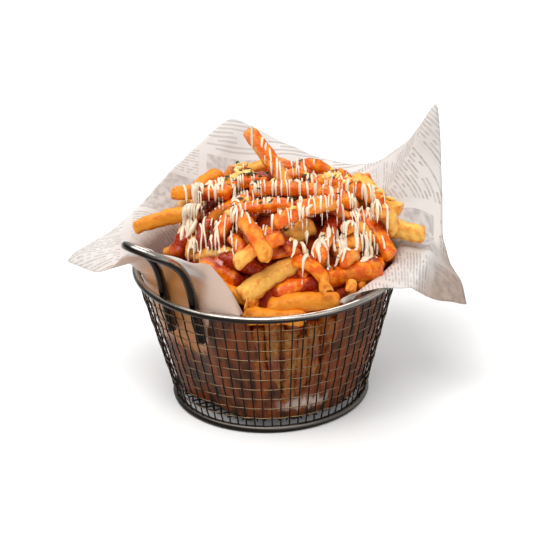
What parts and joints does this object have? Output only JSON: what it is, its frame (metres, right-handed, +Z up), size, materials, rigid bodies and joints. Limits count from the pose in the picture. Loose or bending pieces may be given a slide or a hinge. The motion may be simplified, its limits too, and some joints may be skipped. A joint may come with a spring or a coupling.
{
  "type": "french fries portion",
  "caption": "Thick fries under sauce and mayonnaise, heaped in a round wire mesh basket with a bent wire handle and a printed paper sheet as its liner",
  "frame": {"origin": "middle of the whole portion's box, at the level of the table; the basket's own axis stands 0.8 mm to the right of it and 17.5 mm in front of it, because the paper's corners reach further at the back", "axes": "+Z up; -Y is the front, the side that the picture is taken from; +X is to the right as seen from there. The paper's left and right corners lie nearly along X, and the handle stands at the front's left"},
  "size_m": [0.222, 0.1856, 0.1492],
  "materials": {
    "steel": "polished round wire",
    "dark_steel": "thin crimped mesh wire, dulled by use",
    "paper": "greaseproof paper with grey print, stained with oil",
    "fries": "fried potato with a crisp skin, orange sauce and white mayonnaise"
  },
  "bodies": {
    "root": {"rim_wire": "steel", "foot_ring": "steel", "wall_uprights": "dark_steel", "wall_hoops": "dark_steel", "floor_mesh": "dark_steel", "handle": "steel", "paper_liner": "paper", "fries_heap": "fries"}
  },
  "joints": []
}
